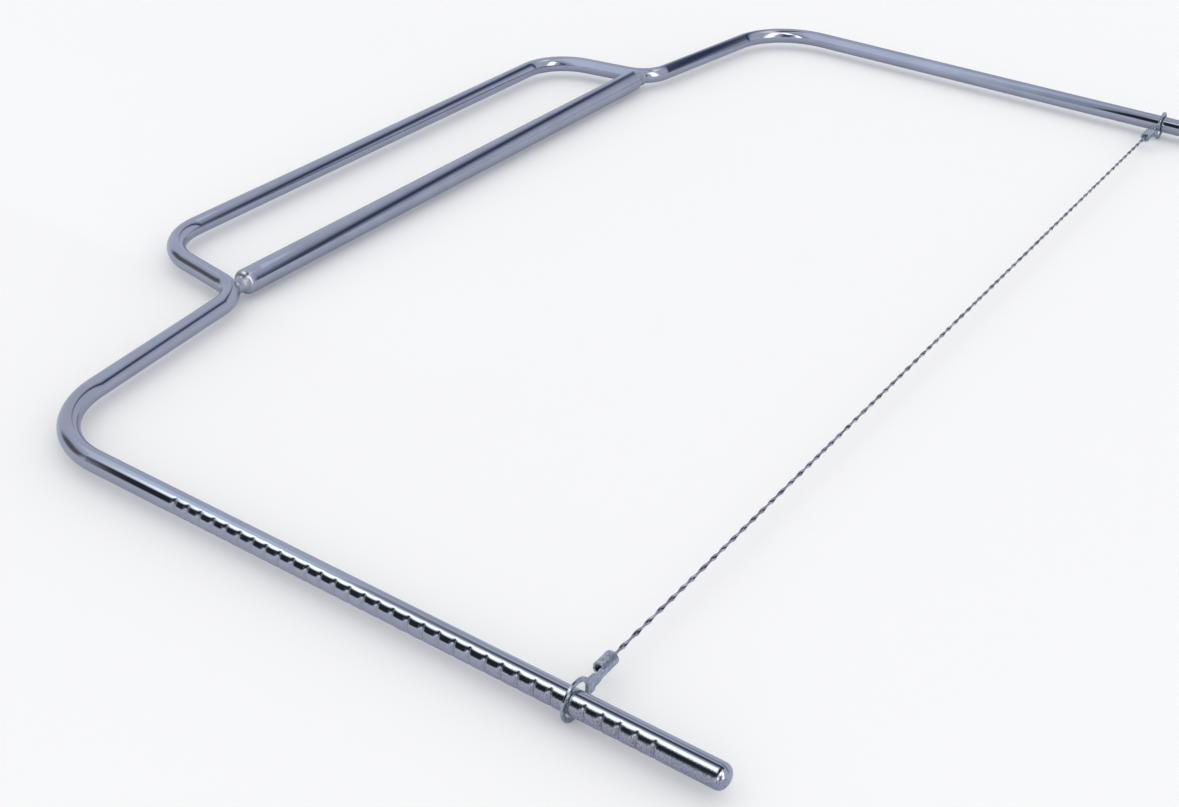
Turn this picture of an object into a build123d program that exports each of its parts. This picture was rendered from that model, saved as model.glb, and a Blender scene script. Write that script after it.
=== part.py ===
"""Cake leveler: a bent rod frame with a twisted cutting wire stretched between its notched legs.

The frame lies flat in the XY plane. The handle is towards +Y, the legs run along -Y, and +Z is up.
The origin is the middle of the grip bar, on its axis. All sizes are in millimetres.
"""

from build123d import *
import math
import os

os.makedirs("parts", exist_ok=True)

# Frame rod: one round bar bent into leg, shoulder, handle loop, shoulder, leg
rod_diameter = 4.8
leg_spacing = 320.0  # between the legs' axes
leg_length = 167.7  # from a leg's corner point to its tip
shoulder_drop = 8.3  # a shoulder falls this far from the handle to the leg
neck_spacing = 183.2  # between the points where the shoulders meet the handle's sides
handle_height = 34.9  # from the grip bar's axis to those points
grip_width = 171.4  # between the handle's outer corner points
leg_bend_radius = 21.6  # bend radii are those of the bar's axis
neck_bend_radius = 10.0
grip_bend_radius = 15.5
tip_rounding = 1.75

# Notches rolled across the outer side of both legs
notch_count = 33
notch_pitch = 3.45
notch_depth = 0.75
notch_width = 1.3
last_notch_from_tip = 13.3  # sets how low the wire can run above the table

# Crossbar that closes the handle loop
crossbar_diameter = 6.4
crossbar_above_neck = 3.1
crossbar_end_rounding = 1.9
weld_neck_diameter = 4.0
weld_gap = 0.4  # from the crossbar's end to the frame rod, bridged by the weld neck

# Cutting wire: two twisted strands, held here as the round bar that they fill
wire_diameter = 1.0
wire_end_inset = 0.6  # from the barrel's mouth on the ring side

# Ring terminals, stamped and rolled from one sheet
sheet_thickness = 0.5
ring_diameter = 8.4
ring_hole_diameter = 6.6
ring_clearance = 0.05  # from the ring's inner rim to the plain rod, where they lie closest
ring_drop = 0.2  # the rings hang this far below the legs' axes
ring_shoulder_rounding = 0.8
shoulder_height = 3.9
shoulder_reach = 5.7  # lengths along a terminal start at the ring's centre
terminal_neck_height = 2.6
step_rounding = 0.3
barrel_start = 8.6
barrel_length = 4.0
barrel_diameter = 2.9
barrel_wall = 0.5
barrel_offset = 1.2  # from the sheet's outer face to the barrel's axis, towards the handle
crimp_length = 1.6
seam_width = 0.15
rest_notch = 5  # notches between the last one, by the tip, and the wire as it is stored

# Places that follow from the sizes above
rod_radius = rod_diameter / 2
leg_x = leg_spacing / 2
neck_y = -handle_height
leg_corner_y = neck_y - shoulder_drop
tip_y = leg_corner_y - leg_length
last_notch_y = tip_y + last_notch_from_tip
notch_row_length = notch_pitch * (notch_count - 1)
crossbar_y = neck_y + crossbar_above_neck
ring_play = (ring_hole_diameter - rod_diameter) / 2 - ring_clearance
ring_x = leg_x - math.sqrt(ring_play**2 - ring_drop**2)
sheet_y = last_notch_y + rest_notch * notch_pitch - sheet_thickness / 2
wire_y = sheet_y + barrel_offset
sides = {"left": -1, "right": 1}


# Frame rod
corner_points = [
    (leg_x, tip_y),
    (leg_x, leg_corner_y),
    (neck_spacing / 2, neck_y),
    (grip_width / 2, 0),
]
mirrored_points = [(-x, y) for x, y in reversed(corner_points)]
bend_radii = [leg_bend_radius, neck_bend_radius, grip_bend_radius]

with BuildPart() as frame_rod:
    with BuildLine() as rod_axis:
        FilletPolyline(*corner_points, *mirrored_points, radius=bend_radii + bend_radii[::-1])
    with BuildSketch(Plane(origin=rod_axis.wire() @ 0, z_dir=rod_axis.wire() % 0)):
        Circle(rod_radius)
    sweep()
    tip_faces = frame_rod.faces().sort_by(Axis.Y)[:2]
    fillet([tip.edges()[0] for tip in tip_faces], tip_rounding)

    # V notches, straight through from top to bottom, open to the outside
    notch_row_y = last_notch_y + notch_row_length / 2
    notch_floor = rod_radius - notch_depth
    notch_mouth = rod_radius + notch_depth
    for side in sides.values():
        with BuildSketch():
            with Locations((side * leg_x, notch_row_y)):
                with GridLocations(0, notch_pitch, 1, notch_count):
                    Polygon(
                        (side * notch_floor, 0),
                        (side * notch_mouth, notch_width),
                        (side * notch_mouth, -notch_width),
                        align=None,
                    )
        extrude(amount=rod_radius, both=True, mode=Mode.SUBTRACT)


# Handle crossbar: a round bar that ends just short of the two neck bends, joined to them by weld necks
neck_point = Vector(neck_spacing / 2, neck_y)
shoulder_way = (Vector(leg_x, leg_corner_y) - neck_point).normalized()
handle_way = (Vector(grip_width / 2, 0) - neck_point).normalized()
half_angle = math.radians(shoulder_way.get_angle(handle_way)) / 2
bisector = (shoulder_way + handle_way).normalized()
bend_centre = neck_point + bisector * (neck_bend_radius / math.sin(half_angle))
bend_outside = neck_bend_radius + rod_radius
flat_end_radius = crossbar_diameter / 2 - crossbar_end_rounding
touch_height = bend_centre.Y - crossbar_y - flat_end_radius
crossbar_end_x = bend_centre.X - math.sqrt(bend_outside**2 - touch_height**2) - weld_gap

with BuildPart() as handle_crossbar:
    with BuildSketch(Plane.YZ):
        with Locations((crossbar_y, 0)):
            Circle(crossbar_diameter / 2)
    extrude(amount=crossbar_end_x, both=True)
    fillet(handle_crossbar.edges().filter_by(GeomType.CIRCLE), crossbar_end_rounding)
    with BuildSketch(Plane.YZ):
        with Locations((crossbar_y, 0)):
            Circle(weld_neck_diameter / 2)
    extrude(amount=crossbar_end_x + weld_gap + rod_radius, both=True)
    add(frame_rod.part, mode=Mode.SUBTRACT)


# Cutting wire, from inside one terminal's barrel to inside the other's
wire_end_x = ring_x - barrel_start - wire_end_inset

with BuildPart() as cutting_wire:
    with BuildSketch(Plane.YZ):
        with Locations((wire_y, -ring_drop)):
            Circle(wire_diameter / 2)
    extrude(amount=wire_end_x, both=True)


def ring_terminal(side):
    """Make the terminal on one leg: a flat ring with a stepped neck and a barrel rolled on the wire."""
    ring_centre = (side * ring_x, sheet_y, -ring_drop)
    sheet_plane = Plane(origin=ring_centre, x_dir=(-side, 0, 0), z_dir=(0, 1, 0))
    barrel_plane = Plane(origin=(side * ring_x, wire_y, -ring_drop), x_dir=(-side, 0, 0))
    barrel_radius = barrel_diameter / 2
    bore_radius = barrel_radius - barrel_wall
    barrel_end = barrel_start + barrel_length
    crimp_start = barrel_start + (barrel_length - crimp_length) / 2
    crimp_end = crimp_start + crimp_length

    with BuildPart() as terminal:
        with BuildSketch(sheet_plane) as blank:
            Rectangle(shoulder_reach, shoulder_height, align=(Align.MIN, Align.CENTER))
            Rectangle(barrel_start, terminal_neck_height, align=(Align.MIN, Align.CENTER))
            Circle(ring_diameter / 2)
            corners = blank.vertices().sort_by_distance(ring_centre)
            fillet(corners[2:6], step_rounding)
            fillet(corners[:2], ring_shoulder_rounding)
            Circle(ring_hole_diameter / 2, mode=Mode.SUBTRACT)
        extrude(amount=sheet_thickness)

        with BuildSketch(barrel_plane):
            with BuildLine():
                Polyline(
                    (barrel_start, barrel_radius),
                    (barrel_end, barrel_radius),
                    (barrel_end, bore_radius),
                    (crimp_end, bore_radius),
                    (crimp_end, wire_diameter / 2),
                    (crimp_start, wire_diameter / 2),
                    (crimp_start, bore_radius),
                    (barrel_start, bore_radius),
                    close=True,
                )
            make_face()
        revolve(axis=Axis(barrel_plane.origin, barrel_plane.x_dir))

        # Seam where the two rolled edges meet, on the side away from the sheet
        seam_plane = Plane(origin=barrel_plane.origin, x_dir=(-side, 0, 0), z_dir=(0, 1, 0))
        with BuildSketch(seam_plane):
            with Locations((barrel_start, 0)):
                Rectangle(barrel_length, seam_width, align=(Align.MIN, Align.CENTER))
        extrude(amount=barrel_diameter, mode=Mode.SUBTRACT)
    return terminal.part


frame_rod.part.label = "frame_rod"
export_step(frame_rod.part, "parts/frame_rod.step")

handle_crossbar.part.label = "handle_crossbar"
export_step(handle_crossbar.part, "parts/handle_crossbar.step")

cutting_wire.part.label = "cutting_wire"
export_step(cutting_wire.part, "parts/cutting_wire.step")

for side_name, side in sides.items():
    terminal_part = ring_terminal(side)
    terminal_part.label = f"{side_name}_ring_terminal"
    export_step(terminal_part, f"parts/{side_name}_ring_terminal.step")
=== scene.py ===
"""Looks of a wire cake leveler: a bent chrome rod with notched legs and a twisted wire between them.

Lengths in the classes are in millimetres, as in the part's source, and are turned into Blender's
metres where a mesh is made. The origin is the middle of the grip bar, the handle is towards +Y, the
legs run along -Y and +Z is up.
"""

import logging
import math
from dataclasses import dataclass, field
from enum import Enum

import bpy
import numpy as np
from mathutils import Matrix, Vector, geometry


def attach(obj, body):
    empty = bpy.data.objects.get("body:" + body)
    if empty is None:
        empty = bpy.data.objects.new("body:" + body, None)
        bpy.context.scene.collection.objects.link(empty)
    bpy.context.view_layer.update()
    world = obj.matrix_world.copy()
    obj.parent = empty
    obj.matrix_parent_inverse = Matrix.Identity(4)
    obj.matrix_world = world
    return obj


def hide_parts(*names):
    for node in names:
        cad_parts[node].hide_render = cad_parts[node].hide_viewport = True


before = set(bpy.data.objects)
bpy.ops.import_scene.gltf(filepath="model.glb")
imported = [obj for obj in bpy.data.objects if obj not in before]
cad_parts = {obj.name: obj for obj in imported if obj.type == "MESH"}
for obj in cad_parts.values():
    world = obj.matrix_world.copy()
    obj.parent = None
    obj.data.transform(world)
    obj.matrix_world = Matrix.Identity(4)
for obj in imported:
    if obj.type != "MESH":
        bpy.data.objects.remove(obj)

MM = 0.001
UP = Vector((0.0, 0.0, 1.0))

# Places this close count as one, in millimetres
TINY = 1e-6

# Distance over which the slope of a rolled sheet is taken, in millimetres
SHORT_STEP = 1e-4

# Runs in the arc of a rounded corner
CORNER_STEPS = 6

# Kind of triangulation that leaves out what lies outside the given edges
INSIDE_EDGES = 1

# How far ahead a direction must point for a far-off card to be seen along it
LEAST_AHEAD = 0.02

log = logging.getLogger("cake_leveler")


class Body(Enum):
    """Bodies that the pieces ride on."""

    FRAME = "frame"
    WIRE_UNIT = "wire_unit"


class Slot(Enum):
    """Finishes named in the record."""

    CHROME_ROD = "chrome_rod"
    STAINLESS_WIRE = "stainless_wire"
    ZINC_SHEET = "zinc_sheet"


class Side(Enum):
    """Which leg a piece belongs to."""

    LEFT = -1
    RIGHT = 1


class TreeMaker:
    """Adds nodes to a tree and joins them."""

    def __init__(self, tree: bpy.types.NodeTree) -> None:
        """Start on a tree.

        Args:
            tree: The node tree that grows.
        """
        self.tree = tree

    def add(self, kind: str, inputs: dict | None = None, **settings: object) -> bpy.types.Node:
        """Add one node.

        Args:
            kind: Blender's name for the node's type.
            inputs: Values or sockets for the node's inputs, by name or by number.
            settings: Properties of the node itself.

        Returns:
            The new node.
        """
        node = self.tree.nodes.new(kind)
        for key, value in settings.items():
            setattr(node, key, value)
        for key, value in (inputs or {}).items():
            self.feed(node.inputs[key], value)
        return node

    def feed(self, socket: bpy.types.NodeSocket, value: object) -> None:
        """Give an input a value or a link.

        Args:
            socket: The input.
            value: A number, a colour, a name or another node's output.
        """
        if isinstance(value, bpy.types.NodeSocket):
            self.tree.links.new(value, socket)
        else:
            socket.default_value = value

    def math(self, operation: str, *values: object) -> bpy.types.NodeSocket:
        """Add a Math node.

        Args:
            operation: Blender's name for the sum.
            values: One to three numbers or sockets.

        Returns:
            The node's output.
        """
        node = self.add("ShaderNodeMath", dict(enumerate(values)), operation=operation)
        return node.outputs[0]

    def span(
        self, value: object, low: object, high: object, to_low: object = 0.0, to_high: object = 1.0
    ) -> bpy.types.NodeSocket:
        """Map a value smoothly from one range to another, held at both ends.

        Args:
            value: The number to map.
            low: Start of its range.
            high: End of its range.
            to_low: Result at the start.
            to_high: Result at the end.

        Returns:
            The mapped value's socket.
        """
        node = self.add(
            "ShaderNodeMapRange",
            {0: value, 1: low, 2: high, 3: to_low, 4: to_high},
            interpolation_type="SMOOTHSTEP",
        )
        return node.outputs[0]

    def dot(self, first: object, second: object) -> bpy.types.NodeSocket:
        """Multiply two vectors into a number."""
        node = self.add("ShaderNodeVectorMath", {0: first, 1: second}, operation="DOT_PRODUCT")
        return node.outputs["Value"]

    def split(self, vector: object) -> tuple:
        """Split a vector into its three parts."""
        node = self.add("ShaderNodeSeparateXYZ", {0: vector})
        return tuple(node.outputs)

    def join(self, x: object, y: object, z: object) -> bpy.types.NodeSocket:
        """Make a vector of three parts."""
        return self.add("ShaderNodeCombineXYZ", {0: x, 1: y, 2: z}).outputs[0]

    def mix(self, amount: object, first: object, second: object) -> bpy.types.NodeSocket:
        """Mix two colours.

        Args:
            amount: Share of the second colour.
            first: Colour or socket.
            second: Colour or socket.

        Returns:
            The mixed colour's socket.
        """
        node = self.add("ShaderNodeMix", {0: amount, 6: first, 7: second}, data_type="RGBA")
        return node.outputs[2]

    def length(self, first: object, second: object) -> bpy.types.NodeSocket:
        """Work out the long side of a right-angled triangle."""
        square = self.math("MULTIPLY_ADD", first, first, self.math("MULTIPLY", second, second))
        return self.math("SQRT", square)

    def group(self, tree: bpy.types.NodeTree, inputs: dict) -> bpy.types.Node:
        """Place a shared shader node group.

        Args:
            tree: The shared group.
            inputs: Values or sockets by name.

        Returns:
            The group's node.
        """
        node = self.tree.nodes.new("ShaderNodeGroup")
        node.node_tree = tree
        for key, value in inputs.items():
            self.feed(node.inputs[key], value)
        return node

    def attribute(self, name: str) -> bpy.types.NodeSocket:
        """Read a number that the mesh carries on its points."""
        return self.add("ShaderNodeAttribute", attribute_name=name).outputs["Fac"]

    def position(self) -> bpy.types.NodeSocket:
        """Read where a point of the geometry lies."""
        return self.add("GeometryNodeInputPosition").outputs[0]

    def store(self, shape: object, name: str, value: object) -> bpy.types.NodeSocket:
        """Store a number on a shape's points.

        Args:
            shape: The geometry.
            name: Name of the attribute.
            value: The number's socket.

        Returns:
            The geometry that carries it.
        """
        node = self.add(
            "GeometryNodeStoreNamedAttribute",
            {"Geometry": shape, "Name": name, "Value": value},
            data_type="FLOAT",
            domain="POINT",
        )
        return node.outputs[0]

    def circle(self, sides: object, radius: object) -> bpy.types.NodeSocket:
        """Make the round profile that a line is skinned with."""
        inputs = {"Resolution": sides, "Radius": radius}
        return self.add("GeometryNodeCurvePrimitiveCircle", inputs, mode="RADIUS").outputs[0]

    def dressed(self, shape: object, finish: object) -> bpy.types.NodeSocket:
        """Shade a shape smooth, make it one plain mesh and give it its finish.

        Args:
            shape: The geometry.
            finish: The material's socket.

        Returns:
            The finished geometry.
        """
        shape = self.add("GeometryNodeSetShadeSmooth", {"Geometry": shape}).outputs[0]
        shape = self.add("GeometryNodeRealizeInstances", {"Geometry": shape}).outputs[0]
        return self.add("GeometryNodeSetMaterial", {"Geometry": shape, "Material": finish}).outputs[0]


GEOMETRY = "NodeSocketGeometry"
VECTOR = "NodeSocketVector"
FLOAT = "NodeSocketFloat"
SOCKET_TYPES = (
    (float, FLOAT),
    (int, "NodeSocketInt"),
    (tuple, VECTOR),
    (bpy.types.Material, "NodeSocketMaterial"),
)


def new_group(name: str, kind: str, inputs: dict, outputs: dict) -> tuple:
    """Make an empty node group with named sockets.

    Args:
        name: Name of the group.
        kind: Blender's name for the tree's type.
        inputs: Default values by socket name, or a socket type where there is no default.
        outputs: Socket types by socket name.

    Returns:
        The group, a maker for its nodes, the sockets that it is given and those that it puts out.
    """
    tree = bpy.data.node_groups.new(name, kind)
    for key, value in inputs.items():
        if isinstance(value, str):
            tree.interface.new_socket(key, in_out="INPUT", socket_type=value)
            continue
        socket_type = next(known for python_type, known in SOCKET_TYPES if isinstance(value, python_type))
        socket = tree.interface.new_socket(key, in_out="INPUT", socket_type=socket_type)
        socket.default_value = value
    for key, socket_type in outputs.items():
        tree.interface.new_socket(key, in_out="OUTPUT", socket_type=socket_type)
    maker = TreeMaker(tree)
    source = maker.add("NodeGroupInput")
    sink = maker.add("NodeGroupOutput")
    return tree, maker, source.outputs, sink.inputs


class SurfaceEffects:
    """Shader node groups that more than one finish uses."""

    # Noise of the scratches and of the patches, and how soon a scratch shows in full
    line_detail: float = 3.0
    line_roughness: float = 0.65
    line_edge: float = 0.15
    cloud_detail: float = 4.0
    cloud_distortion: float = 0.6

    def __init__(self) -> None:
        """Build both groups."""
        self.hairlines = self._hairlines()
        self.clouding = self._clouding()

    def _hairlines(self) -> bpy.types.NodeTree:
        """Build fine scratches that run mostly along one direction.

        Returns:
            The group.
        """
        inputs = {"Vector": VECTOR, "Squeeze": (1.0, 1.0, 1.0), "Scale": 400.0, "Sparseness": 0.6}
        outputs = {"Height": FLOAT, "Mask": FLOAT}
        tree, make, given, out = new_group("hairlines", "ShaderNodeTree", inputs, outputs)
        squeezed = make.add(
            "ShaderNodeVectorMath", {0: given["Vector"], 1: given["Squeeze"]}, operation="MULTIPLY"
        ).outputs[0]
        noise = make.add(
            "ShaderNodeTexNoise",
            {
                "Vector": squeezed,
                "Scale": given["Scale"],
                "Detail": self.line_detail,
                "Roughness": self.line_roughness,
            },
        ).outputs[0]
        make.feed(out["Height"], noise)
        top = make.math("ADD", given["Sparseness"], self.line_edge)
        make.feed(out["Mask"], make.span(noise, given["Sparseness"], top))
        return tree

    def _clouding(self) -> bpy.types.NodeTree:
        """Build soft irregular patches, as fingers and age leave them on metal.

        Returns:
            The group.
        """
        inputs = {"Vector": VECTOR, "Scale": 60.0, "Contrast": 0.2}
        tree, make, given, out = new_group("clouding", "ShaderNodeTree", inputs, {"Mask": FLOAT})
        noise = make.add(
            "ShaderNodeTexNoise",
            {
                "Vector": given["Vector"],
                "Scale": given["Scale"],
                "Detail": self.cloud_detail,
                "Distortion": self.cloud_distortion,
            },
        ).outputs[0]
        low = make.math("SUBTRACT", 0.5, given["Contrast"])
        high = make.math("ADD", 0.5, given["Contrast"])
        make.feed(out["Mask"], make.span(noise, low, high))
        return tree


@dataclass(frozen=True)
class Hairlines:
    """How one finish uses the shared scratches, whose scale counts per metre."""

    squeeze: tuple
    scale: float
    sparseness: float

    def add(self, make: TreeMaker, effects: SurfaceEffects, place: bpy.types.NodeSocket) -> object:
        """Place the group.

        Args:
            make: Maker for the material's nodes.
            effects: The shared node groups.
            place: Where on the piece a point lies.

        Returns:
            The group's outputs, Height and Mask.
        """
        inputs = {
            "Vector": place,
            "Squeeze": self.squeeze,
            "Scale": self.scale,
            "Sparseness": self.sparseness,
        }
        return make.group(effects.hairlines, inputs).outputs


@dataclass(frozen=True)
class Clouding:
    """How one finish uses the shared patches, whose scale counts per metre."""

    scale: float
    contrast: float = 0.2

    def add(
        self, make: TreeMaker, effects: SurfaceEffects, place: bpy.types.NodeSocket
    ) -> bpy.types.NodeSocket:
        """Place the group.

        Args:
            make: Maker for the material's nodes.
            effects: The shared node groups.
            place: Where on the piece a point lies.

        Returns:
            The socket of the patches' mask.
        """
        inputs = {"Vector": place, "Scale": self.scale, "Contrast": self.contrast}
        return make.group(effects.clouding, inputs).outputs["Mask"]


def new_material(name: str) -> tuple:
    """Make a material with an empty Principled shader.

    Args:
        name: Name of the material.

    Returns:
        The material, a maker for its nodes and its shader node.
    """
    material = bpy.data.materials.new(name)
    material.use_nodes = True
    material.node_tree.nodes.clear()
    make = TreeMaker(material.node_tree)
    shader = make.add("ShaderNodeBsdfPrincipled")
    make.add("ShaderNodeOutputMaterial", {"Surface": shader.outputs[0]})
    return material, make, shader


@dataclass(frozen=True)
class MetalSurface:
    """What changes over a bare metal: its colour, its roughness and its fine relief."""

    tone: bpy.types.NodeSocket
    rough: bpy.types.NodeSocket
    height: bpy.types.NodeSocket
    relief: float
    strength: float = 1.0

    def feed(self, make: TreeMaker, shader: bpy.types.Node) -> None:
        """Feed a metal's shader.

        Args:
            make: Maker for the material's nodes.
            shader: The Principled shader.
        """
        make.feed(shader.inputs["Metallic"], 1.0)
        make.feed(shader.inputs["Base Color"], self.tone)
        make.feed(shader.inputs["Roughness"], self.rough)
        relief = {"Strength": self.strength, "Distance": self.relief * MM, "Height": self.height}
        make.feed(shader.inputs["Normal"], make.add("ShaderNodeBump", relief).outputs[0])


@dataclass(frozen=True)
class ChromeFinish:
    """Bright chrome plating, scuffed where the notches were rolled in."""

    name: str = "bright_chrome"
    clean_tone: tuple = (0.50, 0.52, 0.57, 1.0)
    clouded_tone: tuple = (0.46, 0.475, 0.52, 1.0)
    worn_tone: tuple = (0.50, 0.50, 0.54, 1.0)
    scuffed_tone: tuple = (0.2, 0.18, 0.19, 1.0)
    worn_share: float = 0.8
    scuffed_share: float = 0.7

    # Roughness, and what clouding, scratches and wear add to it
    roughness: float = 0.05
    clouded_roughness: float = 0.03
    lined_roughness: float = 0.15
    worn_roughness: float = 0.21

    # Depth of the relief in millimetres, the scratches' share of it and what wear adds to that
    relief: float = 0.034
    clean_relief: float = 0.02
    worn_relief: float = 0.6

    clouds: Clouding = Clouding(90.0)
    lines: Hairlines = Hairlines((1.0, 6.0, 1.0), 900.0, 0.56)
    dents: Hairlines = Hairlines((1.0, 1.7, 1.0), 2600.0, 0.46)

    def make(self, effects: SurfaceEffects) -> bpy.types.Material:
        """Build the material.

        Args:
            effects: The shared node groups.

        Returns:
            The material.
        """
        material, make, shader = new_material(self.name)
        place = make.add("ShaderNodeTexCoord").outputs["Object"]
        wear = make.attribute("wear")
        scuff = make.attribute("scuff")
        cloud = self.clouds.add(make, effects, place)
        lines = self.lines.add(make, effects, place)
        dents = self.dents.add(make, effects, place)

        tone = make.mix(cloud, self.clean_tone, self.clouded_tone)
        tone = make.mix(make.math("MULTIPLY", wear, self.worn_share), tone, self.worn_tone)
        stain = make.math("MULTIPLY", make.math("MULTIPLY", dents["Mask"], scuff), self.scuffed_share)
        tone = make.mix(stain, tone, self.scuffed_tone)

        rough = make.math("MULTIPLY_ADD", cloud, self.clouded_roughness, self.roughness)
        lined = make.math("MULTIPLY", wear, lines["Mask"])
        rough = make.math("MULTIPLY_ADD", lined, self.lined_roughness, rough)
        rough = make.math("MULTIPLY_ADD", wear, self.worn_roughness, rough)

        deep = make.math("MULTIPLY_ADD", wear, self.worn_relief, self.clean_relief)
        height = make.math("MULTIPLY", lines["Height"], deep)
        height = make.math("MULTIPLY_ADD", dents["Height"], scuff, height)
        MetalSurface(tone, rough, height, self.relief).feed(make, shader)
        return material


@dataclass(frozen=True)
class WireFinish:
    """Drawn stainless wire with faint die lines along it, and painted shade in the crevice between its
    strands.
    """

    name: str = "drawn_stainless"
    tone: tuple = (0.72, 0.71, 0.73, 1.0)
    dull_tone: tuple = (0.40, 0.37, 0.38, 1.0)
    # Painted shade: the strands darken to this tone towards the crevice between them, over this span of
    # the distance from the wire's axis
    crevice_shade_tone: tuple = (0.03, 0.025, 0.03, 1.0)
    crevice_shade_fade: tuple = (0.35, 0.9)

    # Roughness, and what clouding adds to it
    roughness: float = 0.14
    clouded_roughness: float = 0.12

    # Depth of the die lines in millimetres, and how much of it is shown
    relief: float = 0.01
    relief_strength: float = 0.3

    clouds: Clouding = Clouding(500.0, 0.15)
    lines: Hairlines = Hairlines((0.08, 1.0, 1.0), 9000.0, 0.5)

    def make(self, effects: SurfaceEffects) -> bpy.types.Material:
        """Build the material.

        Args:
            effects: The shared node groups.

        Returns:
            The material.
        """
        material, make, shader = new_material(self.name)
        place = make.add("ShaderNodeTexCoord").outputs["Object"]
        cloud = self.clouds.add(make, effects, place)
        height = self.lines.add(make, effects, place)["Height"]
        tone = make.mix(cloud, self.tone, self.dull_tone)
        # Painted shade in the crevice between the strands
        unshaded = make.span(make.attribute("outer"), *self.crevice_shade_fade)
        tone = make.mix(unshaded, self.crevice_shade_tone, tone)
        rough = make.math("MULTIPLY_ADD", cloud, self.clouded_roughness, self.roughness)
        MetalSurface(tone, rough, height, self.relief, self.relief_strength).feed(make, shader)
        return material


@dataclass(frozen=True)
class ZincFinish:
    """Bright zinc plating on stamped sheet, with the faint rainbow cast of its passivation."""

    name: str = "passivated_zinc"
    blue_tone: tuple = (0.50, 0.57, 0.62, 1.0)
    green_tone: tuple = (0.70, 0.78, 0.74, 1.0)
    violet_tone: tuple = (0.26, 0.26, 0.30, 1.0)
    scuff_tone: tuple = (0.16, 0.15, 0.14, 1.0)
    green_share: float = 0.6
    violet_share: float = 0.65

    # Scuffing of worn metal: the even part, and the part that follows the grain
    even_scuff: float = 0.4
    grained_scuff: float = 0.6

    # Roughness, and what grain and wear add to it
    roughness: float = 0.19
    grained_roughness: float = 0.1
    worn_roughness: float = 0.15

    # Depth of the grain in millimetres
    relief: float = 0.03

    # Patches. The violet ones are shifted, in metres, so that their noise is not that of the green.
    green_clouds: Clouding = Clouding(1300.0, 0.14)
    violet_clouds: Clouding = Clouding(2000.0, 0.12)
    violet_shift: tuple = (0.031, 0.017, 0.043)
    grain: Hairlines = Hairlines((1.0, 1.0, 0.5), 2600.0, 0.6)

    def make(self, effects: SurfaceEffects) -> bpy.types.Material:
        """Build the material.

        Args:
            effects: The shared node groups.

        Returns:
            The material.
        """
        material, make, shader = new_material(self.name)
        place = make.add("ShaderNodeTexCoord").outputs["Object"]
        moved = make.add(
            "ShaderNodeVectorMath", {0: place, 1: self.violet_shift}, operation="ADD"
        ).outputs[0]
        green = self.green_clouds.add(make, effects, place)
        violet = self.violet_clouds.add(make, effects, moved)
        grain = self.grain.add(make, effects, place)
        wear = make.attribute("wear")

        tone = make.mix(make.math("MULTIPLY", green, self.green_share), self.blue_tone, self.green_tone)
        tone = make.mix(make.math("MULTIPLY", violet, self.violet_share), tone, self.violet_tone)
        patchy = make.math("MULTIPLY_ADD", grain["Mask"], self.grained_scuff, self.even_scuff)
        tone = make.mix(make.math("MULTIPLY", wear, patchy), tone, self.scuff_tone)

        rough = make.math("MULTIPLY_ADD", grain["Mask"], self.grained_roughness, self.roughness)
        rough = make.math("MULTIPLY_ADD", wear, self.worn_roughness, rough)
        MetalSurface(tone, rough, grain["Height"], self.relief).feed(make, shader)
        return material


def show(mesh: bpy.types.Mesh, name: str, body: Body, nodes: list) -> bpy.types.Object:
    """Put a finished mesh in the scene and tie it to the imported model.

    Args:
        mesh: The piece's mesh, already in its place.
        name: Name of the piece.
        body: Body that it rides on.
        nodes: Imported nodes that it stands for.

    Returns:
        The new object.
    """
    piece = bpy.data.objects.new(name, mesh)
    bpy.context.scene.collection.objects.link(piece)
    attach(piece, body.value)
    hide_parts(*nodes)
    log.info("%s: %d faces", name, len(mesh.polygons))
    return piece


def grown(
    seed_mesh: bpy.types.Mesh, group: bpy.types.NodeTree, values: dict, name: str
) -> bpy.types.Mesh:
    """Run a Geometry Nodes group on a mesh and keep the result as a plain mesh.

    Args:
        seed_mesh: Mesh that the group starts from.
        group: The Geometry Nodes group.
        values: The inputs that new_group was given, of which those with no value are left out.
        name: Name of the new mesh.

    Returns:
        The plain mesh.
    """
    carrier = bpy.data.objects.new(name + "_seed", seed_mesh)
    modifier = carrier.modifiers.new("grow", "NODES")
    modifier.node_group = group
    for socket in group.interface.items_tree:
        value = values.get(socket.name)
        if value is not None and not isinstance(value, str):
            modifier[socket.identifier] = value
    bpy.context.scene.collection.objects.link(carrier)
    graph = bpy.context.evaluated_depsgraph_get()
    mesh = bpy.data.meshes.new_from_object(carrier.evaluated_get(graph), depsgraph=graph)
    mesh.name = name
    carrier.modifiers.remove(modifier)
    bpy.data.objects.remove(carrier)
    return mesh


def plain_mesh(name: str, points: list, edges: list, faces: list) -> bpy.types.Mesh:
    """Make a mesh of places in millimetres.

    Args:
        name: Name of the mesh.
        points: Places in millimetres.
        edges: Loose edges.
        faces: Faces.

    Returns:
        The mesh, in metres.
    """
    mesh = bpy.data.meshes.new(name)
    mesh.from_pydata([tuple(c * MM for c in point) for point in points], edges, faces)
    return mesh


def mark(mesh: bpy.types.Mesh, name: str, values: list, kind: str = "FLOAT") -> None:
    """Give each point of a mesh a value.

    Args:
        mesh: The mesh.
        name: Name of the attribute.
        values: One value for each point.
        kind: Blender's name for the values' type.
    """
    mesh.attributes.new(name, kind, "POINT").data.foreach_set("value", values)


def line_mesh(name: str, points: list) -> bpy.types.Mesh:
    """Make an open run of edges through places in millimetres."""
    return plain_mesh(name, points, [(i, i + 1) for i in range(len(points) - 1)], [])


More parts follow.
